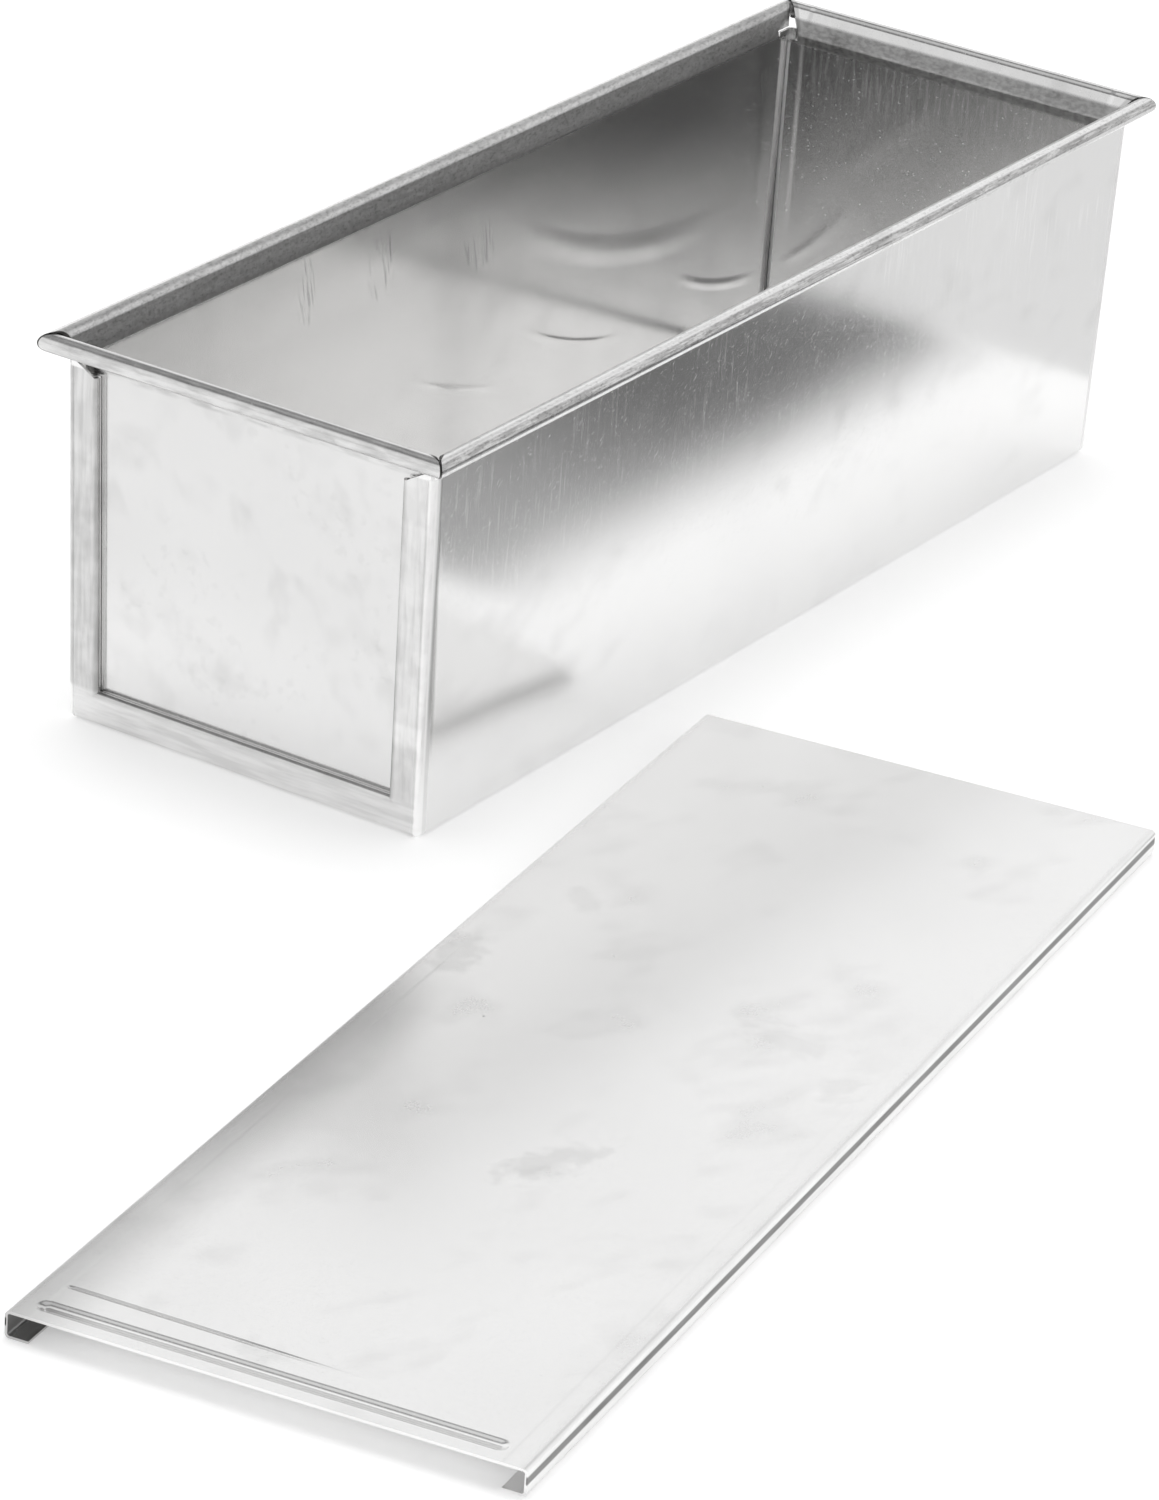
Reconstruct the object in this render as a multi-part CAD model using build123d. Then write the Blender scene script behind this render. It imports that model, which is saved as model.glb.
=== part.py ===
from build123d import *
from math import atan, atan2, asin, cos, sin, tan, sqrt, degrees, radians
import os

os.makedirs("parts", exist_ok=True)

# The pan stands on the table with the middle of its underside at the origin.
# X runs along it from the near end, Y across it and Z up. Lengths are in millimetres.

# Sheet and wire
sheet = 0.6
wire_diameter = 3.2
wire_slack = 0.06
wire_bend = 1.9

# Pan body, outside its sheet at the height where the side walls turn out to the rim
pan_length = 304.0
pan_width = 100.0
neck_height = 88.2
end_lean = 3.0
side_lean = 1.0

# Rolled rim, by how far the centre of its wire lies outside the walls and above their neck
bead_out = 2.7
bead_rise = 4.7
neck_bend = 1.6
bead_tip_angle = -112.0
mitre_gap_outside = 0.12
mitre_gap_inside = 1.1

# Folded seam that holds each end panel in the trough, with its heights measured from the neck
seam_width = 8.5
seam_play = 0.12
seam_drop = 2.0
strip_rise = 1.0
strip_shoulder = 2.4
end_neck_drop = 1.4
notch_gap = 0.5

# Lid, and its fit on the rim
lid_fold = 0.8
lid_side_play = 0.4
lid_rise_play = 0.3
flange_wall_gap = 0.7
groove_shoulder = 1.2
groove_bowl = 1.2
groove_steepness = 80.0
groove_stop_play = 0.1
groove_left_inset = 3.8
groove_right_inset = 6.4
lip = 3.1

# Where the lid lies beside the pan
lid_gap = 13.0
lid_shift = 212.0
lid_turn = 8.0

# One overrun for cutting tools
overrun = 2.0

# Worked out from the values above
wire_radius = wire_diameter / 2
bore_radius = wire_radius + wire_slack
bead_radius = bore_radius + sheet
bead_reach = bead_out + bead_radius
bead_height = neck_height + bead_rise
seam_top = neck_height - seam_drop
strip_top = neck_height + strip_rise
end_neck_height = neck_height - end_neck_drop
layer = sheet + seam_play
hook_radius = layer + sheet / 2
corner_radius = layer + hook_radius
window_inset = seam_width - hook_radius
half_length = pan_length / 2
half_width = pan_width / 2
end_angle = atan(end_lean / neck_height)
side_angle = atan(side_lean / neck_height)
cap_face = half_length - end_lean - 2 * corner_radius


def half_length_at(z):
    """Half the pan's length, outside, at a height."""
    return half_length - end_lean * (1 - z / neck_height)


def half_width_at(z):
    """Half the pan's width, outside, at a height."""
    return half_width - side_lean * (1 - z / neck_height)


def arc_point(centre, radius, angle):
    """The point at an angle, in degrees, on a circle."""
    return Vector(centre.X + radius * cos(radians(angle)), centre.Y + radius * sin(radians(angle)))


def bent_sheet(start, heading, steps):
    """Edge-on outline of a bent sheet. Each step is (None, length) for a straight run of its
    middle line, or (radius, turn) for a bend of that middle radius through turn degrees, left
    turns positive."""
    point = Vector(*start)
    left = []
    right = []
    for radius, amount in steps:
        if radius is None:
            along = arc_point(Vector(0, 0), amount, heading)
            for side, edges in ((90, left), (-90, right)):
                shift = arc_point(Vector(0, 0), sheet / 2, heading + side)
                edges.append(Edge.make_line(point + shift, point + along + shift))
            point = point + along
            continue
        hand = 1 if amount > 0 else -1
        centre = arc_point(point, radius, heading + 90 * hand)
        first = heading - 90 * hand
        for side, edges in ((-1, left), (1, right)):
            reach = radius + side * hand * sheet / 2
            edges.append(
                Edge.make_three_point_arc(
                    arc_point(centre, reach, first),
                    arc_point(centre, reach, first + amount / 2),
                    arc_point(centre, reach, first + amount),
                )
            )
        point = arc_point(centre, radius, first + amount)
        heading = heading + amount
    caps = [Edge.make_line(left[0] @ 0, right[0] @ 0), Edge.make_line(left[-1] @ 1, right[-1] @ 1)]
    return Face(Wire(left + right + caps))


def prism(face, direction, length):
    """A flat outline drawn out into a solid in one direction."""
    return extrude(face, amount=length, dir=direction)


def rim_steps(kink, arrival):
    """The bends that take a wall, whose middle line reaches the kink at an angle, out along a
    neck and round the wire. The kink is measured from the wire's centre."""
    roll = bore_radius + sheet / 2
    distance = sqrt(kink[0] ** 2 + kink[1] ** 2)
    neck_angle = degrees(atan2(-kink[1], -kink[0]) + asin(roll / distance))
    neck_run = sqrt(distance**2 - roll**2)
    trim = neck_bend * tan(radians(arrival - neck_angle) / 2)
    steps = [
        (neck_bend, neck_angle - arrival),
        (None, neck_run - trim),
        (roll, bead_tip_angle - (neck_angle + 90)),
    ]
    return trim, steps


def side_section():
    """Half of the trough across the pan: half the bottom, a side wall, the neck and the roll."""
    wall_angle = 90 - degrees(side_angle)
    bend = corner_radius - sheet / 2
    foot = half_width_at(0) - corner_radius * tan(radians(wall_angle) / 2)
    wall_middle = half_width - sheet / 2 / cos(side_angle)
    kink = (wall_middle - half_width - bead_out, neck_height - bead_height)
    trim, steps = rim_steps(kink, wall_angle)
    bend_top = corner_radius * (1 - cos(radians(wall_angle)))
    bend_top = bend_top + sheet / 2 * cos(radians(wall_angle))
    wall_run = (neck_height - bend_top) / cos(side_angle) - trim
    return bent_sheet(
        (0, sheet / 2),
        0,
        [(None, foot), (bend, wall_angle), (None, wall_run)] + steps,
    )


def mitre_gap(out):
    """Half the open joint between two rolls, at a distance outside the walls' corner."""
    share = (out + sheet) / (bead_reach + sheet)
    return mitre_gap_inside + (mitre_gap_outside - mitre_gap_inside) * share


def mitre_prism(bottom, along, across):
    """The wedge of the near end that belongs to the end panel's rim, seen from above. Each
    corner is moved back by the open joint along X, across Y, or not at all."""
    outer = bead_reach + overrun
    inner = -2 * corner_radius
    corners = []
    for out in (outer, inner):
        x = -(half_length + out) + along * mitre_gap(out)
        corners.append((x, half_width + out - across * mitre_gap(out)))
    corners = corners + [(x, -y) for x, y in reversed(corners)]
    height = bead_height + bead_reach - bottom
    outline = make_face(Polyline(*corners, close=True))
    return prism(Pos(0, 0, bottom) * outline, (0, 0, 1), height)


# The plane of the near end's outer face: x across the pan, y up the face, z outwards
end_plane = Plane(
    origin=(-half_length_at(0), 0, 0),
    x_dir=(0, -1, 0),
    z_dir=(-cos(end_angle), 0, -sin(end_angle)),
)
edge_slope = side_lean * cos(end_angle) / neck_height


def face_outline(inset, top):
    """Three sides of the end face, moved in from its edges: down, along the foot and up."""
    inset_across = inset * sqrt(1 + edge_slope**2)
    foot = half_width_at(0) + inset * edge_slope - inset_across
    head = half_width_at(0) + top * edge_slope - inset_across
    return [(-head, top), (-foot, inset), (foot, inset), (head, top)]


def hem(section, inset, top):
    """A folded edge that follows the end face's three sides with square corners."""
    path = Polyline(*face_outline(inset, top))
    start = Plane(origin=path @ 0, x_dir=(1, edge_slope, 0), z_dir=path % 0)
    return end_plane.location * sweep(start * section, path, transition=Transition.RIGHT)


def end_slab(outline, outside, thickness):
    """A flat plate parallel to the end face, from a depth outside or inside its surface."""
    face = make_face(Polyline(*outline, close=True))
    return end_plane.location * prism(Pos(0, 0, outside) * face, (0, 0, -1), thickness)


def leaning_box(inset, bottom, top, radius):
    """The pan's body as a solid with leaning sides and rounded lower and upright edges."""
    levels = []
    for z in (bottom, top):
        length = half_length_at(z) - inset / cos(end_angle)
        width = half_width_at(z) - inset / cos(side_angle)
        levels.append(Pos(0, 0, z) * Rectangle(2 * length, 2 * width))
    box = loft(levels, ruled=True)
    uprights = box.edges().filter_by(lambda edge: abs(edge.tangent_at(0).Z) > sin(radians(45)))
    return fillet(uprights + box.faces().sort_by(Axis.Z)[0].edges(), radius)


def trough_end():
    """The near end of the trough: walls and bottom turned in to a flat frame, then hooked."""
    shell = leaning_box(0, 0, strip_top, corner_radius)
    shell = shell - leaning_box(sheet, sheet, strip_top + overrun, corner_radius - sheet)
    keep = Pos(-cap_face, 0, 0) * Box(
        half_length,
        pan_width + overrun,
        2 * (strip_top + overrun),
        align=(Align.MAX, Align.CENTER, Align.CENTER),
    )
    frame = shell & keep
    top = seam_top / cos(end_angle)
    head = strip_top / cos(end_angle)
    window = face_outline(window_inset, head + overrun)
    frame = frame - end_slab(window, overrun, overrun + 2 * sheet)
    inner = face_outline(window_inset, top)[3][0]
    outer = face_outline(strip_shoulder, head)[3][0]
    for hand in (-1, 1):
        slope = [
            (hand * (inner - overrun), top),
            (hand * inner, top),
            (hand * outer, head),
            (hand * outer, head + overrun),
            (hand * (inner - overrun), head + overrun),
        ]
        frame = frame - end_slab(slope, overrun, overrun + 2 * sheet)
    hook = bent_sheet(
        (0, -sheet / 2),
        0,
        [(layer, -180), (None, window_inset - corner_radius - 2 * seam_play)],
    )
    return frame + hem(hook, window_inset, top)


def pan_trough():
    """Bottom and both long walls in one sheet, with rolls along its two upper edges."""
    half = side_section()
    reach = half_length + bead_reach
    across = Plane(origin=(-reach, 0, 0), x_dir=(0, 1, 0), z_dir=(1, 0, 0))
    section = half + mirror(half, about=Plane.YZ)
    body = prism(across * section, (1, 0, 0), 2 * reach)
    ends = []
    for turn in (0, 180):
        ends.append(Rot(0, 0, turn) * mitre_prism(bead_height - bead_radius - overrun, 1, 0))
        beyond = Pos(-cap_face, 0, 0) * Box(
            reach,
            pan_width + 4 * bead_reach,
            2 * (strip_top + notch_gap),
            align=(Align.MAX, Align.CENTER, Align.CENTER),
        )
        ends.append(Rot(0, 0, turn) * beyond)
    for cutter in ends:
        body = body - cutter
    near = trough_end()
    slit = Pos(-cap_face, 0, neck_height) * Box(
        2 * notch_gap,
        pan_width + 4 * bead_reach,
        bead_height - neck_height,
        align=(Align.CENTER, Align.CENTER, Align.MIN),
    )
    near = near - slit
    return body + near + mirror(near, about=Plane.YZ)


def end_panel():
    """The near end's panel: flat, hooked on three sides, and rolled round the wire above."""
    inside = 3 * layer
    top = end_neck_height / cos(end_angle)
    flat = end_slab(face_outline(corner_radius, top), -inside, sheet)
    hook = bent_sheet(
        (0, -inside - sheet / 2),
        180,
        [(layer, -180), (None, window_inset - corner_radius - 2 * seam_play)],
    )
    hooked = hem(hook, corner_radius, seam_top / cos(end_angle))
    hooked = hooked & leaning_box(sheet, sheet, strip_top, corner_radius - sheet)
    arrival = 90 - degrees(end_angle)
    depth = inside + sheet / 2
    start_out = -end_lean + top * sin(end_angle) - depth * cos(end_angle)
    start_up = top * cos(end_angle) + depth * sin(end_angle)
    kink_run = neck_bend
    kink_out = start_out + kink_run * sin(end_angle)
    kink_up = start_up + kink_run * cos(end_angle)
    trim, steps = rim_steps((kink_out - bead_out, kink_up - bead_height), arrival)
    section = bent_sheet((start_out, start_up), arrival, [(None, kink_run - trim)] + steps)
    reach = half_width + bead_reach + overrun
    side_on = Plane(origin=(-half_length, -reach, 0), x_dir=(-1, 0, 0), z_dir=(0, 1, 0))
    rim = prism(side_on * section, (0, 1, 0), 2 * reach)
    rim = rim & mitre_prism(neck_height - 2 * overrun, 0, 1)
    return flat + hooked + rim


def wire_ring(radius):
    """A closed ring of round rod on the wire's path."""
    path = Pos(0, 0, bead_height) * RectangleRounded(
        2 * (half_length + bead_out), 2 * (half_width + bead_out), wire_bend
    )
    path = path.faces()[0].outer_wire()
    start = Plane(origin=path @ 0, z_dir=path % 0)
    return sweep(start * Circle(radius), path)


def stop_groove_steps():
    """Down over one shoulder, round the bowl and up over the other."""
    return [
        (groove_shoulder, -groove_steepness),
        (groove_bowl, 2 * groove_steepness),
        (groove_shoulder, -groove_steepness),
    ]


def lid_sheet():
    """The lid where it sits on the pan: a flat sheet, its long sides folded down and under to
    run round the side rolls, with a pressed groove that stops it at the near roll."""
    rise = 2 * bead_radius + lid_rise_play
    outer = half_width + bead_reach + lid_side_play + sheet
    under = bead_height + bead_radius
    middle = under + sheet / 2
    flat = outer - lid_fold - sheet / 2
    side_run = rise + sheet - 2 * lid_fold
    flange_run = flat - half_width - flange_wall_gap
    half = bent_sheet(
        (0, middle),
        0,
        [(None, flat), (lid_fold, -90), (None, side_run), (lid_fold, -90), (None, flange_run)],
    )
    half_groove = (groove_shoulder + groove_bowl) * sin(radians(groove_steepness))
    groove_depth = (groove_shoulder + groove_bowl) * (1 - cos(radians(groove_steepness)))
    touch = bead_radius + groove_bowl + sheet / 2
    drop = bead_radius + sheet / 2 - groove_depth + groove_bowl
    groove_at = half_length + bead_out + sqrt(touch**2 - drop**2) + groove_stop_play
    near = groove_at + half_groove + lip
    far = half_length + bead_reach
    across = Plane(origin=(-near, 0, 0), x_dir=(0, 1, 0), z_dir=(1, 0, 0))
    lid = prism(across * (half + mirror(half, about=Plane.YZ)), (1, 0, 0), near + far)
    left = outer - groove_left_inset - half_groove
    right = outer - groove_right_inset - half_groove
    pressed = bent_sheet((-half_groove, 0), 0, stop_groove_steps())
    bowl = pressed & Pos(half_groove, 0) * Rectangle(2 * half_groove, 2 * touch)
    place = Pos(-groove_at, 0, middle)
    blank = Rectangle(2 * half_groove, left + right) + Pos(0, (left + right) / 2) * Circle(half_groove)
    blank = blank + Pos(0, -(left + right) / 2) * Circle(half_groove)
    centre_y = (left - right) / 2
    lid = lid - place * Pos(0, centre_y, -sheet) * prism(blank, (0, 0, 1), 2 * sheet)
    run = Plane(origin=(0, -right, 0), x_dir=(1, 0, 0), z_dir=(0, -1, 0))
    groove = prism(run * pressed, (0, 1, 0), left + right)
    for y, hand in ((left, 1), (-right, -1)):
        upright = Plane(origin=(0, y, 0), x_dir=(1, 0, 0), z_dir=(0, -1, 0))
        axis = Axis((0, y, 0), (0, 0, 1))
        groove = groove + revolve(upright * bowl, axis, hand * 180)
    return lid + place * groove


trough = pan_trough()
near_panel = end_panel()
ring = wire_ring(wire_radius)
bore = wire_ring(wire_radius + wire_slack / 2)
trough = trough - bore
near_panel = near_panel - bore
far_panel = mirror(near_panel, about=Plane.YZ)
lid = lid_sheet()

# The lid is lifted off, turned and laid on its flanges beside the pan
seat = lid.bounding_box()
lid_reach = (sin(radians(lid_turn)) * seat.size.X + cos(radians(lid_turn)) * seat.size.Y) / 2
resting = Pos(-lid_shift, -(half_width + bead_reach + lid_gap + lid_reach), 0)
resting = resting * Rot(0, 0, lid_turn) * Pos(-seat.center().X, -seat.center().Y, -seat.min.Z)

pieces = {
    "pan_trough": trough,
    "near_end_panel": near_panel,
    "far_end_panel": far_panel,
    "rim_wire": ring,
    "lid_sheet": resting * lid,
}
for name, piece in pieces.items():
    export_step(piece, "parts/" + name + ".step")
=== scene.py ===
import bpy
import math
from types import SimpleNamespace
from mathutils import Matrix, Vector

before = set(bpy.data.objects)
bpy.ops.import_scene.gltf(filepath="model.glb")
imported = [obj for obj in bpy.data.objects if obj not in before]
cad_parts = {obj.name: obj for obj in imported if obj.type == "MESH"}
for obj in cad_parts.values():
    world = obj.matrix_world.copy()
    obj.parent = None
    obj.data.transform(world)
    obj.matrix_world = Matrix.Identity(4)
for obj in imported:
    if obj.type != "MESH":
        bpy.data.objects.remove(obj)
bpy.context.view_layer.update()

# The camera. It looks down on the pan's near corner with a long lens, turned a little to one side,
# as the pan and its lid are photographed.
photo_width, photo_height = 1159, 1500
camera_azimuth, camera_elevation, camera_roll = -58.56, 25.78, 4.24
camera_place = (-1.2863, -0.8018, 0.6697)
film_width = 36
focal_pixels = 6831
picture_middle = (641, 811)


def camera_turn(azimuth, elevation, roll):
    """The camera's axes from its compass angle, its height angle and its own turn."""
    across, up, turn = (math.radians(angle) for angle in (azimuth, elevation, roll))
    back = Vector((math.sin(across) * math.cos(up), -math.cos(across) * math.cos(up), math.sin(up)))
    level = Vector((math.cos(across), math.sin(across), 0))
    right = level * math.cos(turn) + back.cross(level) * math.sin(turn)
    return Matrix((right, back.cross(right), back)).transposed()


camera = bpy.data.objects.new("camera", bpy.data.cameras.new("camera"))
bpy.context.collection.objects.link(camera)
bpy.context.scene.camera = camera
camera.matrix_world = Matrix.Translation(camera_place) @ camera_turn(
    camera_azimuth, camera_elevation, camera_roll
).to_4x4()
camera.data.sensor_fit = "AUTO"
camera.data.sensor_width = film_width
camera.data.lens = focal_pixels / photo_height * film_width
camera.data.shift_x = (photo_width / 2 - picture_middle[0]) / photo_height
camera.data.shift_y = (picture_middle[1] - photo_height / 2) / photo_height

# The stage. A pale floor without an edge, a room that is bright low down and dim above, and one
# wide soft lamp overhead. Three cards on the floor, one along each side of the pan and a pale one
# past its far end, show only in the metal.
floor_reach = 12.0
floor_colour = 0.9
floor_white = 0.26
floor_sheen = 0.24
card_height = 0.0006
card_fade = (0.1, 0.129)
card_run = (0.0, 0.11)
# Each card's name, its reach along and across the pan, and its three tones.
cards = (
    ("dark_card", (-0.03, 0.188), (-0.1, -0.33), (0.95, 0.38, 0.14)),
    ("back_card", (-0.14, 0.19), (0.1, 0.6), (0.95, 0.5, 0.35)),
    ("pale_card", (0.19, 0.6), (-0.05, -0.6), (0.8, 0.8, 0.8)),
)
lamp_place = (0.15, 0.1, 2.2)
lamp_size = 1.3
lamp_power = 16.0
room_strength = 1.0
# How high a direction points, from level to straight up, and the room's tone there.
room_bands = ((0.6, 1.0), (0.71, 0.21), (0.81, 0.23), (0.9, 0.76))


def node(tree, kind, ins=None, **settings):
    """A shader node with its settings. Its inputs are values or the outputs of other nodes."""
    made = tree.nodes.new(kind)
    for name, value in settings.items():
        setattr(made, name, value)
    for name, value in (ins or {}).items():
        if isinstance(value, bpy.types.NodeSocket):
            tree.links.new(value, made.inputs[name])
        else:
            made.inputs[name].default_value = value
    return made


def calc(tree, operation, *values):
    """One step of arithmetic on node outputs and plain numbers."""
    return node(tree, "ShaderNodeMath", dict(enumerate(values)), operation=operation).outputs[0]


def ramp(tree, value, start, end, low=0.0, high=1.0):
    """A soft step: low below the start, high past the end. The start may be the larger one."""
    if start > end:
        start, end, low, high = end, start, high, low
    ins = {"Value": value, "From Min": start, "From Max": end, "To Min": low, "To Max": high}
    return node(tree, "ShaderNodeMapRange", ins, interpolation_type="SMOOTHSTEP").outputs[0]


def object_parts(tree):
    """A point's Object place, and its parts along, across and up."""
    place = node(tree, "ShaderNodeTexCoord").outputs["Object"]
    return place, node(tree, "ShaderNodeSeparateXYZ", {0: place}).outputs


def new_material(name):
    """A material with an empty node tree."""
    material = bpy.data.materials.new(name)
    material.use_nodes = True
    material.node_tree.nodes.clear()
    return material, material.node_tree


def flat_stage(name, along, across, height):
    """A flat sheet of the stage, a rectangle in the plan, from its reach along and across."""
    (near, far), (first, last) = along, across
    plan = ((near, first), (far, first), (far, last), (near, last))
    mesh = bpy.data.meshes.new(name)
    mesh.from_pydata([(x, y, height) for x, y in plan], [], [tuple(range(len(plan)))])
    piece = bpy.data.objects.new(name, mesh)
    bpy.context.collection.objects.link(piece)
    return piece


def floor_material():
    """A matt pale floor, lifted a little towards white for the camera and in reflections."""
    material, tree = new_material("pale_floor")
    rays = node(tree, "ShaderNodeLightPath").outputs
    seen = calc(tree, "MULTIPLY", rays["Is Camera Ray"], floor_white)
    seen = calc(tree, "MULTIPLY_ADD", rays["Is Glossy Ray"], floor_sheen, seen)
    matt = node(tree, "ShaderNodeBsdfDiffuse", {"Color": (floor_colour,) * 3 + (1,)})
    lift = node(tree, "ShaderNodeEmission", {"Strength": seen})
    summed = node(tree, "ShaderNodeAddShader", {0: matt.outputs[0], 1: lift.outputs[0]})
    node(tree, "ShaderNodeOutputMaterial", {"Surface": summed.outputs[0]})
    return material


def card_material(name, tones):
    """A card that glows at its first tone beside the pan, and further out at a tone that goes from
    the second to the third along it."""
    material, tree = new_material(name)
    parts = object_parts(tree)[1]
    deep = ramp(tree, parts["X"], *card_run, *tones[1:])
    tone = ramp(tree, calc(tree, "ABSOLUTE", parts["Y"]), *card_fade, tones[0], deep)
    glow = node(tree, "ShaderNodeEmission", {"Strength": tone})
    node(tree, "ShaderNodeOutputMaterial", {"Surface": glow.outputs[0]})
    return material


def room_air():
    """Air that is white from the floor up to a height, dim above it and brighter overhead."""
    world = bpy.data.worlds.new("room_air")
    bpy.context.scene.world = world
    world.use_nodes = True
    tree = world.node_tree
    tree.nodes.clear()
    way = node(tree, "ShaderNodeTexCoord").outputs["Generated"]
    height = node(tree, "ShaderNodeSeparateXYZ", {0: way}).outputs["Z"]
    fade = node(tree, "ShaderNodeValToRGB", {"Fac": height})
    fade.color_ramp.interpolation = "EASE"
    while len(fade.color_ramp.elements) < len(room_bands):
        fade.color_ramp.elements.new(1.0)
    for stop, (place, tone) in zip(fade.color_ramp.elements, room_bands):
        stop.position = place
        stop.color = (tone, tone, tone, 1)
    ins = {"Color": fade.outputs[0], "Strength": room_strength}
    air = node(tree, "ShaderNodeBackground", ins)
    node(tree, "ShaderNodeOutputWorld", {"Surface": air.outputs[0]})


floor_span = (-floor_reach, floor_reach)
floor = flat_stage("floor", floor_span, floor_span, 0)
floor.data.materials.append(floor_material())
for name, along, across, tones in cards:
    card = flat_stage(name, along, across, card_height)
    card.data.materials.append(card_material(name, tones))
    for rays in ("visible_camera", "visible_diffuse", "visible_shadow", "visible_transmission"):
        setattr(card, rays, False)
room_air()
lamp = bpy.data.objects.new("lamp", bpy.data.lights.new("lamp", "AREA"))
lamp.data.size = lamp_size
lamp.data.energy = lamp_power
lamp.location = lamp_place
lamp.rotation_euler = (-Vector(lamp_place)).to_track_quat("-Z", "Y").to_euler()
lamp.visible_glossy = False
bpy.context.collection.objects.link(lamp)
bpy.context.scene.view_settings.view_transform = "Standard"

# The trough: bottom and both long walls folded from one sheet of tinplate, its ends turned in as
# a frame and hooked, and its upper edges rolled round the wire. The frame and the rolls were
# beaten down by hand, and the walls carry rubbed streaks and small scratches.
sheet = 0.0006
neck_height, roll_height, roll_out = 0.0882, 0.0929, 0.0027
wall_foot_x, wall_foot_y = 0.149, 0.049
lean_x, lean_y = 0.003 / neck_height, 0.001 / neck_height
wall_top_span = (0.088, 0.0875)
millimetre = 0.001
dull_tin, bright_tin = (0.03, 0.028, 0.026, 1), (1.0, 0.998, 0.995, 1)
# How much detail a cloud has, from soft to fine.
soft, wiped, rough, handled, fine = 1.0, 1.5, 2.0, 2.5, 3.0
broad_span, middle_span = (0.3, 0.7), (0.35, 0.65)
scratch_swirl, scratch_edge_share = 0.4, 0.05
speck_core_share, speck_lot_share = 0.6, 0.8


def both(tree, first, *others):
    """Where all the masks hold."""
    for other in others:
        first = calc(tree, "MULTIPLY", first, other)
    return first


def lessen(tree, value, where, amount):
    """The value less an amount where the mask is 1."""
    return calc(tree, "SUBTRACT", value, both(tree, where, amount))


def gain(tree, value, where, amount):
    """The value plus an amount where the mask is 1."""
    return calc(tree, "ADD", value, both(tree, where, amount))


def cloud(tree, place, size, detail, stretch=(1, 1, 1), turn=(0, 0, 0), swirl=0.0):
    """Soft noise with lumps of about a size in metres, drawn out along an axis where its stretch
    is large, after a turn in degrees, and folded over itself by the swirl."""
    turn = [math.radians(angle) for angle in turn]
    scale = tuple(1 / (size * along) for along in stretch)
    turned = node(tree, "ShaderNodeMapping", {"Vector": place, "Rotation": turn})
    scaled = node(tree, "ShaderNodeMapping", {"Vector": turned.outputs[0], "Scale": scale})
    ins = {"Vector": scaled.outputs[0], "Scale": 1.0, "Detail": detail, "Distortion": swirl}
    return node(tree, "ShaderNodeTexNoise", ins).outputs[0]


def scratches(tree, place, turn, length, width, share):
    """Short thin lines along one direction, a little curved. The share sets how few there are."""
    lines = cloud(tree, place, width, soft, (length / width, 1, 1), turn, scratch_swirl)
    return ramp(tree, lines, share, share + scratch_edge_share)


def specks(tree, place, gap, size):
    """Rare round dots, one in some of the cells of a loose grid."""
    dots = node(tree, "ShaderNodeTexVoronoi", {"Vector": place, "Scale": 1 / gap}).outputs
    near = ramp(tree, dots["Distance"], size / gap, speck_core_share * size / gap)
    lot = node(tree, "ShaderNodeSeparateColor", {0: dots["Color"]}).outputs[0]
    return both(tree, near, calc(tree, "GREATER_THAN", lot, speck_lot_share))


def pan_places(tree):
    """Where a point of the pan lies: its Object place, its parts along, across and up, how far it
    is past the outer faces of the end and of the long side, both of which lean out as they rise,
    and how far in it is from the frame's outer edge."""
    place, parts = object_parts(tree)
    at = SimpleNamespace(place=place, along=parts["X"], across=parts["Y"], height=parts["Z"])
    out = calc(tree, "SUBTRACT", calc(tree, "ABSOLUTE", at.along), wall_foot_x)
    at.past_end = lessen(tree, out, at.height, lean_x)
    out = calc(tree, "SUBTRACT", calc(tree, "ABSOLUTE", at.across), wall_foot_y)
    at.past_side = lessen(tree, out, at.height, lean_y)
    at.inset = calc(tree, "MINIMUM", calc(tree, "MULTIPLY", at.past_side, -1), at.height)
    return at


def looks_out(tree, axis):
    """How far a face looks out of the pan along an axis: its normal's part along the axis, times
    the sign of the point's place there."""
    normal = node(tree, "ShaderNodeNewGeometry").outputs["True Normal"]
    normal = node(tree, "ShaderNodeSeparateXYZ", {0: normal}).outputs
    return both(tree, normal[axis], calc(tree, "SIGN", object_parts(tree)[1][axis]))


def tinned(made, finish, relief_scale):
    """The finished metal, from its tone between dull and bright, its roughness, and its relief in
    units of the relief scale."""
    material, tree = made
    tone, roughness, relief = finish
    tint = node(tree, "ShaderNodeValToRGB", {"Fac": tone})
    for stop, colour in zip(tint.color_ramp.elements, (dull_tin, bright_tin)):
        stop.color = colour
    ins = {"Height": relief, "Strength": 1.0, "Distance": relief_scale}
    bump = node(tree, "ShaderNodeBump", ins)
    ins = {"Base Color": tint.outputs[0], "Roughness": roughness, "Normal": bump.outputs[0]}
    metal = node(tree, "ShaderNodeBsdfPrincipled", {**ins, "Metallic": 1.0})
    node(tree, "ShaderNodeOutputMaterial", {"Surface": metal.outputs[0]})
    return material


# The plain worn sheet. A span is where a mark starts and where it is full. A shade is what a mark
# takes from the tone, a shine what it adds to it, a haze what it adds to the roughness, and a depth
# its step in the relief, in millimetres.
tin_tone, tin_roughness = 0.88, 0.17
cloud_size, cloud_shade = 0.05, 0.012
smudge_size, smudge_stretch, smudge_turn, smudge_swirl = 0.012, (1.6, 1, 1), (0, 0, 30), 0.1
smudge_span, smudge_shade, smudge_haze = (0.5, 0.85), 0.06, 0.04
grain_size, grain_haze, grain_depth = 0.0012, 0.008, 0.001
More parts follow.
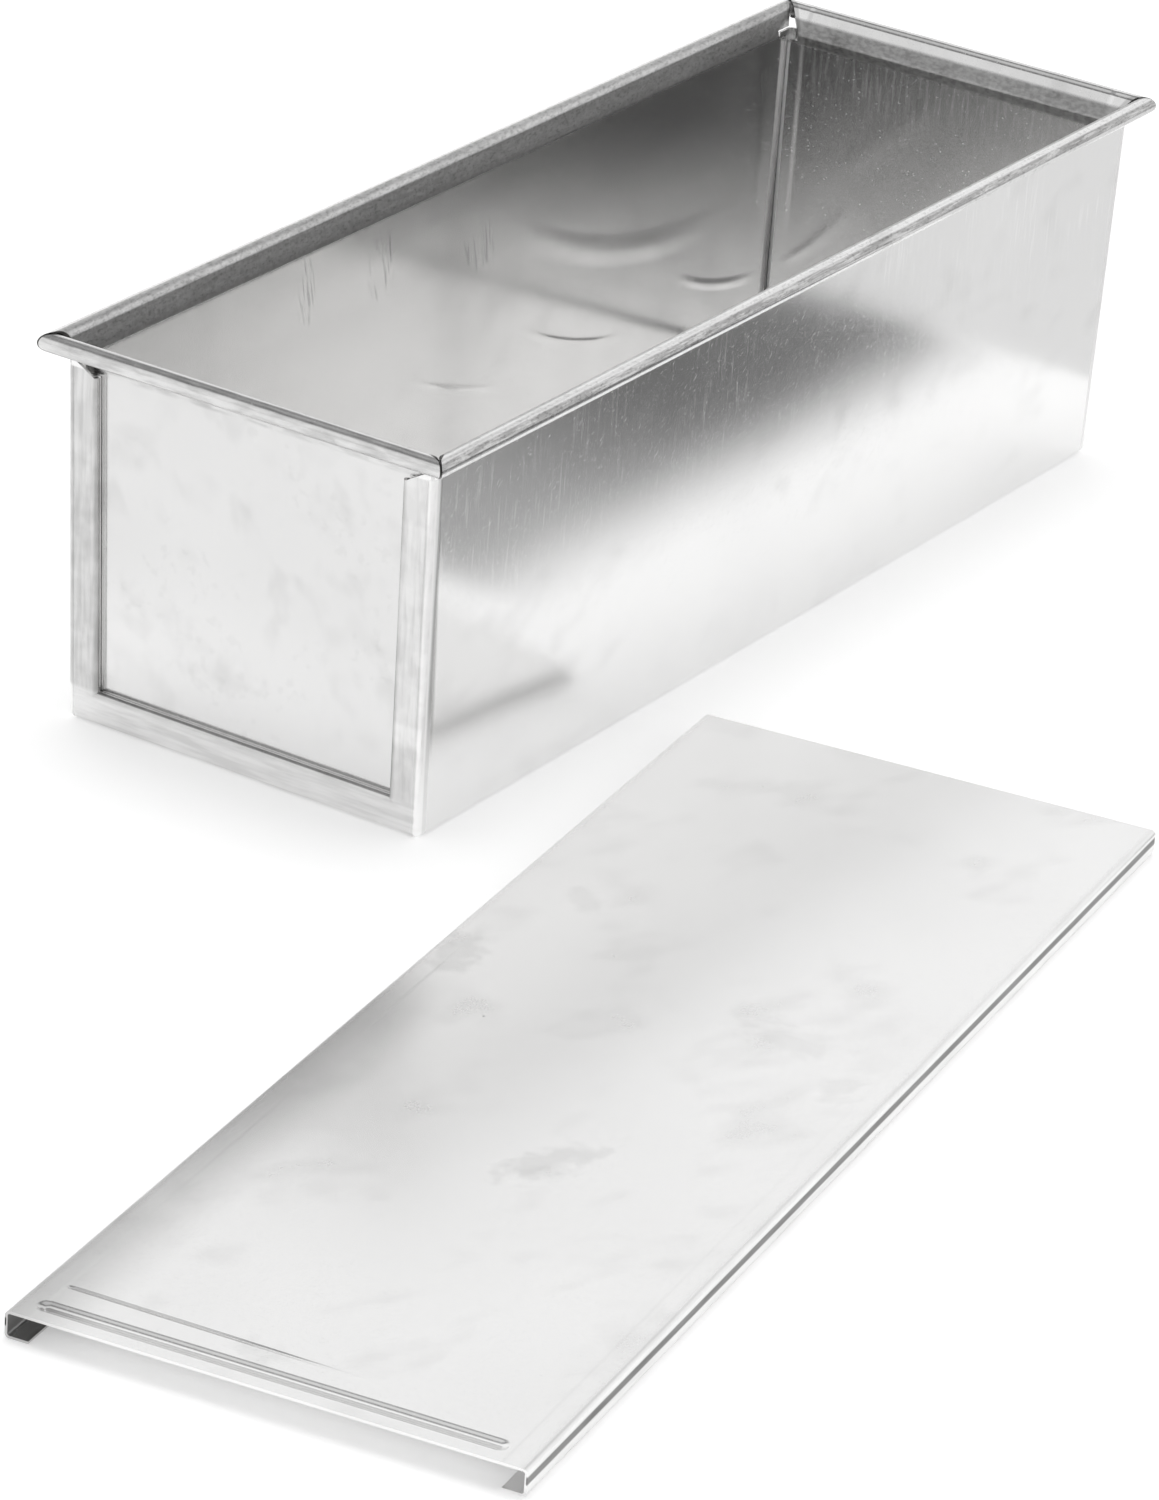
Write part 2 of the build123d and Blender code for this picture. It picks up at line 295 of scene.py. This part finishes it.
# Each run of scratches has its turn, its length and its width.
scratch_runs = (((20, 35, 25), 0.014, 0.0004), ((-50, 15, 70), 0.009, 0.0003))
scratch_share, scratch_shine, scratch_depth = 0.71, 0.05, 0.008
speck_gap, speck_size, speck_shade = 0.014, 0.0004, 0.35
wave_size = 0.07


def worn_sheet(tree, place, waves):
    """What all the sheets share: clouds, wiped smudges, scratches, specks and the sheet's waves.
    A finish is a tone, a roughness and a relief in millimetres."""
    broad = cloud(tree, place, cloud_size, soft)
    smudge = cloud(tree, place, smudge_size, wiped, smudge_stretch, smudge_turn, smudge_swirl)
    smudge = ramp(tree, smudge, *smudge_span)
    grain = cloud(tree, place, grain_size, rough)
    marks = [scratches(tree, place, *run, scratch_share) for run in scratch_runs]
    marks = calc(tree, "MAXIMUM", *marks)
    dots = specks(tree, place, speck_gap, speck_size)
    tone = ramp(tree, broad, *broad_span, tin_tone - cloud_shade, tin_tone + cloud_shade)
    tone = lessen(tree, tone, smudge, smudge_shade)
    tone = gain(tree, tone, marks, scratch_shine)
    tone = lessen(tree, tone, dots, speck_shade)
    haze = ramp(tree, grain, *middle_span, -grain_haze, grain_haze)
    roughness = gain(tree, tin_roughness, smudge, smudge_haze)
    roughness = calc(tree, "ADD", roughness, haze)
    relief = calc(tree, "MULTIPLY", cloud(tree, place, wave_size, soft), waves)
    relief = gain(tree, relief, grain, grain_depth)
    relief = lessen(tree, relief, marks, scratch_depth)
    return tone, roughness, relief


# The beaten frame and rolls. Each kind of hammer mark has its stretch, its depth and its shade.
hammer_size, hammer_swirl, hammer_span, hammer_haze = 0.0014, 0.2, (0.36, 0.68), 0.06
strip_marks = ((1, 1, 12), 0.02, 0.1)
foot_marks = ((1, 12, 1), 0.02, 0.12)
roll_marks = ((14, 1, 1), 0.04, 0.16)
frame_face_span = (-2.2 * sheet, -1.6 * sheet)
strip_foot_span, foot_top_span = (0.0075, 0.0095), (0.0095, 0.0075)
roll_span, roll_share = (0.0885, 0.0895), 0.5
pit_size, pit_stretch, pit_span, pit_shade = 0.0006, (2, 1, 1), (0.52, 0.66), 0.24
blotch_size, blotch_shares = 0.006, (0.75, 1.25)
strip_shade, foot_shade = 0.16, 0.05
inner_edge_span, inner_edge_shade = (0.0068, 0.0082), 0.2
far_strip_span, far_strip_painted_shade = (0.03, 0.04), 0.07
outer_edge_span, outer_edge_painted_shade = (0.0022, 0.0008), 0.2
corner_highlight_span, corner_painted_highlight = (-0.0017, -0.0011), 0.3


def beaten(tree, place, finish, where, stretch, depth, shade):
    """The finish with dull hammer marks where the metal was worked, drawn out along an axis."""
    tone, roughness, relief = finish
    marks = cloud(tree, place, hammer_size, fine, stretch, swirl=hammer_swirl)
    tone = lessen(tree, tone, where, ramp(tree, marks, *hammer_span, 0.0, shade))
    roughness = gain(tree, roughness, where, hammer_haze)
    relief = gain(tree, relief, where, calc(tree, "MULTIPLY", marks, depth))
    return tone, roughness, relief


def frame_wear_and_painted_light(tree, at, finish):
    """Hammer marks on the upright strips, the foot and the rolls, with pits in the rolls, blotches
    on the frame, painted shade and dirt along its inner edge, painted shade on the strip on the
    side away from the lid and along its outer edge, and a painted highlight on the upright corner."""
    face = ramp(tree, at.past_end, *frame_face_span)
    upright = both(tree, ramp(tree, at.height, *strip_foot_span), at.below, face)
    finish = beaten(tree, at.place, finish, upright, *strip_marks)
    foot = both(tree, face, ramp(tree, at.height, *foot_top_span))
    finish = beaten(tree, at.place, finish, foot, *foot_marks)
    rolls = ramp(tree, at.height, *roll_span, 0.0, roll_share)
    tone, roughness, relief = beaten(tree, at.place, finish, rolls, *roll_marks)
    pits = ramp(tree, cloud(tree, at.place, pit_size, rough, pit_stretch), *pit_span)
    tone = lessen(tree, tone, both(tree, pits, rolls), pit_shade)
    blotch = ramp(tree, cloud(tree, at.place, blotch_size, rough), *middle_span, *blotch_shares)
    tone = lessen(tree, tone, both(tree, upright, blotch), strip_shade)
    tone = lessen(tree, tone, both(tree, foot, blotch), foot_shade)
    # Painted shade and dirt: a dark line along the frame's inner edge, where it meets the recessed
    # panel.
    edge_shade_and_dirt = both(tree, face, ramp(tree, at.inset, *inner_edge_span))
    tone = lessen(tree, tone, edge_shade_and_dirt, inner_edge_shade)
    # Painted shade: the strip on the side away from the lid is darker, with a darker line along its
    # outer edge.
    shaded_far_strip = both(tree, ramp(tree, at.across, *far_strip_span), upright)
    tone = lessen(tree, tone, shaded_far_strip, far_strip_painted_shade)
    shaded_outer_edge = both(tree, shaded_far_strip, ramp(tree, at.inset, *outer_edge_span))
    tone = lessen(tree, tone, shaded_outer_edge, outer_edge_painted_shade)
    # Painted highlight along the bend of the upright corner.
    corner_highlight = [ramp(tree, past, *corner_highlight_span) for past in (at.past_end, at.past_side)]
    tone = gain(tree, tone, both(tree, *corner_highlight, at.below), corner_painted_highlight)
    return tone, roughness, relief


# The long sides outside: a line of painted shade beside the bend at the near end, and upright streaks.
outer_skin_span = (-0.7 * sheet, -0.3 * sheet)
bend_in, bend_line_painted_shade = 0.0028, 0.35
bend_taper_span, bend_widths = (0.085, 0.03), (0.0005, 0.0017)
bend_edge_span, bend_foot_span, bend_near_span = (1.0, 0.3), (0.015, 0.035), (0.0, -0.01)
streak_size, streak_stretch, streak_span = 0.0007, (1, 1, 18), (0.54, 0.74)
streak_height_span, streak_shine, streak_haze = (0.035, 0.07), 0.07, 0.06
patch_size, patch_span, patch_near_span = 0.03, (0.38, 0.6), (-0.05, -0.09)


def side_marks(tree, at, finish):
    """Outside the long walls, a line of painted shade beside the bend, which tapers upwards beside the
    near end, and bright upright streaks in some patches and beside the near end."""
    tone, roughness, relief = finish
    outside = ramp(tree, at.past_side, *outer_skin_span)
    in_from_end = calc(tree, "ABSOLUTE", calc(tree, "ADD", at.past_end, bend_in))
    width = ramp(tree, at.height, *bend_taper_span, *bend_widths)
    bend_shade_line = ramp(tree, calc(tree, "DIVIDE", in_from_end, width), *bend_edge_span)
    bend_shade_line = both(tree, bend_shade_line, outside, ramp(tree, at.height, *bend_foot_span))
    bend_shade_line = both(tree, bend_shade_line, ramp(tree, at.along, *bend_near_span), at.below)
    # Painted shade: a dark line on the side wall beside the bend of the near corner.
    tone = lessen(tree, tone, bend_shade_line, bend_line_painted_shade)
    streak = ramp(tree, cloud(tree, at.place, streak_size, rough, streak_stretch), *streak_span)
    patch = ramp(tree, cloud(tree, at.place, patch_size, soft), *patch_span)
    patch = calc(tree, "MAXIMUM", patch, ramp(tree, at.along, *patch_near_span))
    streak = both(tree, streak, patch, outside, ramp(tree, at.height, *streak_height_span))
    tone = gain(tree, tone, streak, streak_shine)
    return tone, gain(tree, roughness, streak, streak_haze), relief


# The walls inside: ripples on the wall near the lid, and on the other one bowed rubs and scuffs. The
# ripples and rubs carry a painted highlight, and painted light brightens the inside.
inner_skin_span, bottom_skin_span = (-0.7 * sheet, -0.9 * sheet), (0.7 * sheet, 0.9 * sheet)
far_wall_span = (0.0, 0.03)
ripples = {"Scale": 9.0, "Distortion": 6.0, "Detail": 1.0, "Detail Scale": 0.4}
ripple_span, ripple_height_span = (0.93, 1.0), (0.07, 0.05)
# Each rub's middle, its level there, half its length and width, its slope and its bow.
rub_arcs = (
    (0.004, 0.034, 0.024, 0.0016, -0.008, 0.002),
    (0.055, 0.031, 0.03, 0.0018, -0.01, 0.004),
    (0.122, 0.027, 0.022, 0.002, -0.006, 0.003),
    (0.075, 0.05, 0.05, 0.005, -0.012, 0.008),
)
rub_end_span = (1.0, 0.2)
rub_painted_highlight, rub_haze_loss, rub_depth = 0.1, 0.06, 0.1
inside_haze_loss = 0.03
# Each scuff's middle, its level, and half its length and height.
wall_scuffs = ((-0.03, 0.076, 0.007, 0.01), (-0.061, 0.078, 0.004, 0.011), (0.012, 0.07, 0.009, 0.008))
scuff_size, scuff_stretch, scuff_turn = 0.0009, (1, 1, 10), (0, 12, 0)
scuff_line_span, scuff_edge_span, scuff_shade = (0.52, 0.66), (1.0, 0.3), 0.22
inside_light_span, inside_painted_light = (-0.13, -0.02), 0.12


def rub_arc(tree, at, arc):
    """A slanting bowed band on a wall, 1 on its middle line and 0 at its edges and ends. With the
    distance from its middle as a share of its half length, its line is its level plus the slope
    times the share, plus the bow times the share's square."""
    middle, level, length, width, slope, bow = arc
    off = calc(tree, "DIVIDE", calc(tree, "SUBTRACT", at.along, middle), length)
    line = calc(tree, "MULTIPLY_ADD", calc(tree, "MULTIPLY", off, off), bow, level)
    line = calc(tree, "MULTIPLY_ADD", off, slope, line)
    away = calc(tree, "ABSOLUTE", calc(tree, "SUBTRACT", at.height, line))
    ends = ramp(tree, calc(tree, "ABSOLUTE", off), *rub_end_span)
    return both(tree, ramp(tree, away, width, 0.0), ends)


def wall_scuff(tree, at, scuff):
    """A soft oval on a wall, 1 in its middle and 0 at its edge. It steps down as the squares of the
    distances from its middle along and up, each as a share of its half size, add up to 1."""
    middle, level, length, width = scuff
    off = calc(tree, "DIVIDE", calc(tree, "SUBTRACT", at.along, middle), length)
    rise = calc(tree, "DIVIDE", calc(tree, "SUBTRACT", at.height, level), width)
    squares = [calc(tree, "MULTIPLY", share, share) for share in (off, rise)]
    return ramp(tree, calc(tree, "ADD", *squares), *scuff_edge_span)


def inner_marks_and_light(tree, at, finish):
    """Inside the trough, ripples on the wall near the lid, bowed rubs and dark scuffs on the other
    one, the ripples and rubs brightened with a painted highlight, and painted light that brightens the
    inside more towards the far end."""
    tone, roughness, relief = finish
    inner = both(tree, ramp(tree, at.past_side, *inner_skin_span), at.below)
    inside = both(tree, inner, ramp(tree, at.height, *bottom_skin_span))
    far_wall = ramp(tree, at.across, *far_wall_span)
    near_wall = ramp(tree, far_wall, 1.0, 0.0)
    waves = node(tree, "ShaderNodeTexWave", {"Vector": at.place, **ripples}, bands_direction="Z")
    rub_with_highlight = ramp(tree, waves.outputs["Fac"], *ripple_span)
    rub_with_highlight = both(tree, rub_with_highlight, ramp(tree, at.height, *ripple_height_span), near_wall)
    for arc in rub_arcs:
        rub_with_highlight = calc(tree, "MAXIMUM", rub_with_highlight, both(tree, rub_arc(tree, at, arc), far_wall))
    rub_with_highlight = both(tree, rub_with_highlight, inside)
    # Painted highlight: the ripples and rubs are brightened; their relief and lower roughness are
    # real.
    tone = gain(tree, tone, rub_with_highlight, rub_painted_highlight)
    roughness = lessen(tree, roughness, rub_with_highlight, rub_haze_loss)
    roughness = lessen(tree, roughness, inside, inside_haze_loss)
    relief = gain(tree, relief, rub_with_highlight, rub_depth)
    lines = cloud(tree, at.place, scuff_size, wiped, scuff_stretch, scuff_turn)
    lines = ramp(tree, lines, *scuff_line_span)
    for scuff in wall_scuffs:
        scuffed = both(tree, lines, wall_scuff(tree, at, scuff), inside, far_wall)
        tone = lessen(tree, tone, scuffed, scuff_shade)
    # Painted light: the inside is brightened, more towards the far end.
    painted_light = ramp(tree, at.along, *inside_light_span, 0.0, inside_painted_light)
    return gain(tree, tone, inside, painted_light), roughness, relief


# The rim: a flecked band of painted dark reflection along the outside of the roll, and the neck
# inside it, rougher and darkened with painted shade.
roll_band_start_span, roll_band_end_span = (-0.05, 0.15), (1.05, 0.8)
roll_band_out_span, roll_band_height_span = (0.0002, 0.0008), (0.0896, 0.0902)
fleck_size, fleck_stretch, fleck_span, roll_band_painted_shades = 0.0007, (12, 1, 1), (0.42, 0.7), (0.46, 0.2)
neck_span, faces_in_span = (0.0868, neck_height), (0.0, -0.1)
mottle_size, neck_mottle_stretch, neck_painted_shades, neck_haze = 0.0009, (2, 1, 1), (0.26, 0.36), 0.12


def rim_shade_marks(tree, at, finish):
    """A flecked band of painted dark reflection along the outside of the roll, between two angles
    round the wire, and the rough neck inside, darkened with mottled painted shade."""
    tone, roughness, relief = finish
    # Painted dark reflection: a flecked dark band along the outside of the roll.
    rise = calc(tree, "SUBTRACT", at.height, roll_height)
    turn = calc(tree, "ARCTAN2", rise, calc(tree, "SUBTRACT", at.past_side, roll_out))
    edge_band = both(tree, ramp(tree, turn, *roll_band_start_span), ramp(tree, turn, *roll_band_end_span))
    edge_band = both(tree, edge_band, ramp(tree, at.past_side, *roll_band_out_span))
    edge_band = both(tree, edge_band, ramp(tree, at.height, *roll_band_height_span))
    flecks = cloud(tree, at.place, fleck_size, fine, fleck_stretch)
    tone = lessen(tree, tone, edge_band, ramp(tree, flecks, *fleck_span, *roll_band_painted_shades))
    inside = ramp(tree, looks_out(tree, "Y"), *faces_in_span)
    # Painted shade: the neck under the roll is darkened in mottles; its extra roughness is real.
    neck = both(tree, ramp(tree, at.height, *neck_span), inside)
    mottle = cloud(tree, at.place, mottle_size, fine, neck_mottle_stretch)
    tone = lessen(tree, tone, neck, ramp(tree, mottle, *middle_span, *neck_painted_shades))
    return tone, gain(tree, roughness, neck, neck_haze), relief


# The corners: the open slit between two rolls, wide inside and narrow outside, darkened with
# painted shade, and the fold behind the upright corner.
slit_out_span, slit_widths, slit_edge_span = (0.001, 0.0075), (0.0026, 0.0004), (1.0, 0.7)
slit_height_span, slit_near_span = (0.0888, 0.0896), (0.01, 0.0)
slit_far_share, slit_shade_share = 0.35, 0.03
fold_side_span, fold_end_span = (-3.6 * sheet, -3 * sheet), (-5.2 * sheet, -4.5 * sheet)
fold_top_span, fold_haze = (0.0885, 0.0875), 0.4


def slit_shade_and_fold(tree, at, finish):
    """Painted shade in the open slit where two rolls meet, which is fainter at the far end, and a
    rough fold behind the upright corner inside the pan."""
    tone, roughness, relief = finish
    off = calc(tree, "ABSOLUTE", calc(tree, "SUBTRACT", at.past_end, at.past_side))
    out = calc(tree, "ADD", at.past_end, at.past_side)
    width = ramp(tree, out, *slit_out_span, *slit_widths)
    slit_shade = ramp(tree, calc(tree, "DIVIDE", off, width), *slit_edge_span)
    near = ramp(tree, at.along, *slit_near_span, slit_far_share, 1.0)
    slit_shade = both(tree, slit_shade, ramp(tree, at.height, *slit_height_span), near)
    # Painted shade: the slit is darkened nearly to black, standing in for the shadow in it.
    tone = calc(tree, "MULTIPLY", tone, ramp(tree, slit_shade, 0.0, 1.0, 1.0, slit_shade_share))
    fold = ramp(tree, at.past_side, *fold_side_span)
    fold = both(tree, fold, ramp(tree, at.past_end, *fold_end_span))
    fold = both(tree, fold, ramp(tree, at.height, *fold_top_span))
    return tone, gain(tree, roughness, fold, fold_haze), relief


trough_waves = 0.35


def trough_material():
    """Worn tinplate with each of the trough's marks in turn."""
    made = new_material("trough_tinplate")
    tree = made[1]
    at = pan_places(tree)
    at.below = ramp(tree, at.height, *wall_top_span)
    finish = worn_sheet(tree, at.place, trough_waves)
    for marks in (frame_wear_and_painted_light, side_marks, inner_marks_and_light, rim_shade_marks, slit_shade_and_fold):
        finish = marks(tree, at, finish)
    return tinned(made, finish, millimetre)


def finish_node(name, material):
    """Gives a piece of the frame its finish."""
    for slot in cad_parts[name].material_slots:
        slot.material = material


finish_node("pan_trough", trough_material())

# The two end panels: flat tinplate, hooked into the trough's frame on three sides and rolled
# round the wire above. The seam behind their edges shows inside the pan as a low step.
panel_waves = 0.3
faces_out_span = (-0.1, 0.0)
panel_neck_span, panel_neck_marks = (0.0862, 0.0872), ((1, 6, 1), 0.03, 0.16)
panel_face_painted_shades = (0.16, 0.11)
panel_light_span, panel_painted_light = (0.05, 0.01), 0.1
seam_width, seam_edge, seam_height_span = 0.0056, 0.0009, (0.03, 0.06)
seam_depth, seam_painted_highlight = 0.09, 0.06
hand_size, hand_stretch, hand_turn, hand_swirl = 0.009, (1, 1, 1.5), (20, 0, 0), 0.1
hand_span, hand_shade, hand_haze = (0.5, 0.72), 0.05, 0.03
dab_size, dab_span, dab_shade = 0.0028, (0.56, 0.66), 0.03
dab_patch_size, dab_patch_span = 0.02, (0.5, 0.62)
press_size, press_stretch, press_span = 0.001, (1, 1, 12), (0.45, 0.7)
press_height_span, press_share, press_shine, press_haze = (0.066, 0.084), 0.8, 0.05, 0.09
nick_runs = (((60, 10, 0), 0.007, 0.0007), ((-35, 20, 0), 0.005, 0.0006))
nick_share, nick_height_span, nick_shine, nick_haze = 0.74, (0.03, 0.055), 0.15, 0.35
inner_neck_foot_span, inner_neck_top_span = (0.0855, 0.0868), (0.0925, 0.0915)
inner_neck_mottle_stretch, inner_neck_painted_shades, inner_neck_haze = (1, 2, 1), (0.4, 0.5), 0.15


def panel_base(tree, at):
    """The worn sheet with a beaten neck and roll outside, the outer face made darker than the inner
    with painted shade, and the lower half of its outer face brightened with painted light."""
    neck = both(tree, ramp(tree, at.height, *panel_neck_span), at.outside)
    finish = worn_sheet(tree, at.place, panel_waves)
    tone, roughness, relief = beaten(tree, at.place, finish, neck, *panel_neck_marks)
    # Painted shade: the outer face is made darker than the inner one.
    tone = calc(tree, "SUBTRACT", tone, ramp(tree, at.inside, 0.0, 1.0, *panel_face_painted_shades))
    # Painted light: the lower part of the outer face is brightened.
    painted_light = both(tree, at.outside, ramp(tree, at.height, *panel_light_span))
    return gain(tree, tone, painted_light, panel_painted_light), roughness, relief


def panel_seam(tree, at, finish):
    """The low step of the seam, along the sides and the foot of the inner face, with a painted
    highlight.
    """
    tone, roughness, relief = finish
    seam = ramp(tree, at.inset, seam_width + seam_edge, seam_width - seam_edge)
    seam = both(tree, seam, at.inside, ramp(tree, at.height, *seam_height_span))
    # The step's relief is real; its brighter tone is a painted highlight.
    return gain(tree, tone, seam, seam_painted_highlight), roughness, gain(tree, relief, seam, seam_depth)


def panel_handling(tree, at, finish):
    """Smudges of hands on both faces, and small dabs in a few patches of the outer one."""
    tone, roughness, relief = finish
    hand = cloud(tree, at.place, hand_size, handled, hand_stretch, hand_turn, hand_swirl)
    hand = ramp(tree, hand, *hand_span)
    tone = lessen(tree, tone, hand, hand_shade)
    roughness = gain(tree, roughness, hand, hand_haze)
    dabs = ramp(tree, cloud(tree, at.place, dab_size, rough), *dab_span)
    patch = ramp(tree, cloud(tree, at.place, dab_patch_size, soft), *dab_patch_span)
    return lessen(tree, tone, both(tree, dabs, patch, at.outside), dab_shade), roughness, relief


def panel_pressing_and_neck_shade(tree, at, finish):
    """On the inner face, pressing streaks under the rim, bright nicks, and the rough neck darkened
    with mottled painted shade.
    """
    tone, roughness, relief = finish
    press = ramp(tree, cloud(tree, at.place, press_size, rough, press_stretch), *press_span)
    press = both(tree, press, ramp(tree, at.height, *press_height_span, 0.0, press_share), at.inside)
    nicks = [scratches(tree, at.place, *run, nick_share) for run in nick_runs]
    nicks = calc(tree, "MAXIMUM", *nicks)
    nicks = both(tree, nicks, at.inside, ramp(tree, at.height, *nick_height_span))
    for marks, shine, haze in ((press, press_shine, press_haze), (nicks, nick_shine, nick_haze)):
        tone = gain(tree, tone, marks, shine)
        roughness = gain(tree, roughness, marks, haze)
    # Painted shade: the neck under the roll on the inner face is darkened in mottles.
    inner_neck_shade = both(tree, ramp(tree, at.height, *inner_neck_foot_span), at.inside)
    inner_neck_shade = both(tree, inner_neck_shade, ramp(tree, at.height, *inner_neck_top_span))
    mottle = cloud(tree, at.place, mottle_size, fine, inner_neck_mottle_stretch)
    tone = lessen(tree, tone, inner_neck_shade, ramp(tree, mottle, *middle_span, *inner_neck_painted_shades))
    return tone, gain(tree, roughness, inner_neck_shade, inner_neck_haze), relief


def panel_material():
    """Worn tinplate with each of the end panel's marks in turn."""
    made = new_material("panel_tinplate")
    tree = made[1]
    at = pan_places(tree)
    out = looks_out(tree, "X")
    at.inside, at.outside = ramp(tree, out, *faces_in_span), ramp(tree, out, *faces_out_span)
    finish = panel_base(tree, at)
    for marks in (panel_seam, panel_handling, panel_pressing_and_neck_shade, slit_shade_and_fold):
        finish = marks(tree, at, finish)
    return tinned(made, finish, millimetre)


panel_metal = panel_material()
for name in ("near_end_panel", "far_end_panel"):
    finish_node(name, panel_metal)

# The rim wire: one ring of drawn steel inside the four rolls, its tone painted dark to stand in for
# the shade of the slits. It shows only as a dark line where two rolls meet at a corner.
dark_painted_wire_tone, wire_tone_shares, wire_roughness = 0.2, (0.6, 1.4), 0.45
wire_grain_size, wire_relief = 0.0008, 0.00002


def wire_material():
    """Drawn steel with a faint grain, its tone painted dark as painted shade for the slits."""
    made = new_material("dark_painted_wire")
    tree = made[1]
    grain = cloud(tree, object_parts(tree)[0], wire_grain_size, fine)
    # Painted shade: the wire's tones are far darker than bright drawn steel.
    tones = [share * dark_painted_wire_tone for share in wire_tone_shares]
    tone = ramp(tree, grain, *broad_span, *tones)
    return tinned(made, (tone, wire_roughness, grain), wire_relief)


finish_node("rim_wire", wire_material())

# The lid: one flat sheet of tinplate, its long sides folded down and under as channels, with a
# pressed groove across its near end. Half of one long edge is darkened in patches with a painted
# dark reflection.
lid_middle = (-0.212, -0.14568)
lid_turn = 8.0
lid_half_length, lid_half_width = 0.16027, 0.05596
lid_waves, lid_shine, lid_haze = 0.05, 0.04, 0.07
# Each smudge's place along and across the lid, its half length and width, its turn and its shade.
lid_smudges = (
    (-0.052, -0.007, 0.006, 0.016, 60, 0.11),
    (0.022, 0.05, 0.012, 0.006, 10, 0.12),
    (0.058, 0.038, 0.008, 0.005, 40, 0.06),
    (0.024, -0.026, 0.014, 0.007, 70, 0.06),
    (0.01, -0.045, 0.009, 0.005, 0, 0.06),
    (-0.148, 0.008, 0.008, 0.004, 80, 0.08),
)
rag_size, rag_share, lid_smudge_span = 0.006, 0.35, (1.1, 0.3)
worn_margin, lid_edge_marks = 0.003, ((12, 1, 1), 0.01, 0.07)
line_foot_span, line_top_span = (0.0024, 0.003), (0.0047, 0.0041)
line_margin_span, side_line_painted_shade = (0.0004, 0.0002), 0.72
crease_in, crease_edge, crease_depth = 0.0055, 0.0005, 0.05
press_in, press_slope, press_width, press_depth = 0.0135, -0.015, 0.0008, 0.25
press_start_span, press_end_span = (-0.02, 0.03), (0.051, 0.048)
shaded_edge_across_span, shaded_edge_along_span, edge_painted_shade = (0.036, lid_half_width), (0.02, -0.02), 0.36
shaded_edge_patch_size, shaded_edge_patch_span, shaded_edge_patch_shares = 0.03, (0.2, 0.6), (0.8, 1.0)


def lid_places(tree):
    """Where a point of the lid lies: its place in the lid's own frame, its parts along, across and
    up, and how far in it is from the long edges."""
    back = math.radians(-lid_turn)
    shift = -(Matrix.Rotation(back, 3, "Z") @ Vector((*lid_middle, 0)))
    ins = {"Vector": object_parts(tree)[0], "Rotation": (0, 0, back), "Location": shift}
    place = node(tree, "ShaderNodeMapping", ins).outputs[0]
    parts = node(tree, "ShaderNodeSeparateXYZ", {0: place}).outputs
    at = SimpleNamespace(place=place, along=parts["X"], across=parts["Y"], height=parts["Z"])
    at.margin = calc(tree, "SUBTRACT", lid_half_width, calc(tree, "ABSOLUTE", at.across))
    return at


def lid_smudging(tree, at, finish):
    """The lid's own smudges: ovals with ragged edges."""
    tone, roughness, relief = finish
    ragged = ramp(tree, cloud(tree, at.place, rag_size, rough), *broad_span, -rag_share, rag_share)
    for along, across, length, width, turn, shade in lid_smudges:
        ins = {"Location": (along, across, 0), "Rotation": (0, 0, math.radians(turn))}
        ins = {"Vector": at.place, **ins, "Scale": (length, width, 1)}
        spot = node(tree, "ShaderNodeMapping", ins, vector_type="TEXTURE").outputs[0]
        away = node(tree, "ShaderNodeVectorMath", {0: spot}, operation="LENGTH").outputs["Value"]
        away = calc(tree, "ADD", away, ragged)
        tone = lessen(tree, tone, ramp(tree, away, *lid_smudge_span), shade)
    return tone, roughness, relief


def lid_edges(tree, at, finish):
    """The worn long edges, a line of painted shade along the channels' sides, and a faint crease
    beside each fold."""
    edge_band = ramp(tree, at.margin, worn_margin, 0.0)
    tone, roughness, relief = beaten(tree, at.place, finish, edge_band, *lid_edge_marks)
    # Painted shade: a dark line along the middle of each channel's outer side.
    line = both(tree, ramp(tree, at.height, *line_foot_span), ramp(tree, at.height, *line_top_span))
    line = both(tree, line, ramp(tree, at.margin, *line_margin_span))
    tone = lessen(tree, tone, line, side_line_painted_shade)
    crease = ramp(tree, at.margin, crease_in - crease_edge, crease_in + crease_edge)
    return tone, roughness, gain(tree, relief, crease, crease_depth)


def lid_press_mark(tree, at, finish):
    """A second crease beside the groove, slanting a little from it, which fades out half way."""
    tone, roughness, relief = finish
    off = calc(tree, "ADD", at.along, lid_half_length - press_in)
    off = gain(tree, off, at.across, press_slope)
    mark = ramp(tree, calc(tree, "ABSOLUTE", off), press_width, 0.0)
    mark = both(tree, mark, ramp(tree, at.across, *press_start_span))
    mark = both(tree, mark, ramp(tree, at.across, *press_end_span))
    return tone, roughness, lessen(tree, relief, mark, press_depth)


def lid_shaded_edge(tree, at, finish):
    """Half of one long edge, darkened in patches with a painted dark reflection."""
    tone, roughness, relief = finish
    # Painted dark reflection along half of one long edge, varied in patches.
    shaded_edge = both(tree, ramp(tree, at.across, *shaded_edge_across_span), ramp(tree, at.along, *shaded_edge_along_span))
    patch = cloud(tree, at.place, shaded_edge_patch_size, rough)
    patch = ramp(tree, patch, *shaded_edge_patch_span, *shaded_edge_patch_shares)
    return lessen(tree, tone, both(tree, shaded_edge, edge_painted_shade), patch), roughness, relief


def lid_material():
    """Worn tinplate, a little brighter and rougher, with each of the lid's marks in turn."""
    made = new_material("lid_tinplate")
    tree = made[1]
    at = lid_places(tree)
    tone, roughness, relief = worn_sheet(tree, at.place, lid_waves)
    finish = (calc(tree, "ADD", tone, lid_shine), calc(tree, "ADD", roughness, lid_haze), relief)
    for marks in (lid_smudging, lid_edges, lid_press_mark, lid_shaded_edge):
        finish = marks(tree, at, finish)
    return tinned(made, finish, millimetre)


finish_node("lid_sheet", lid_material())

bpy.context.view_layer.update()
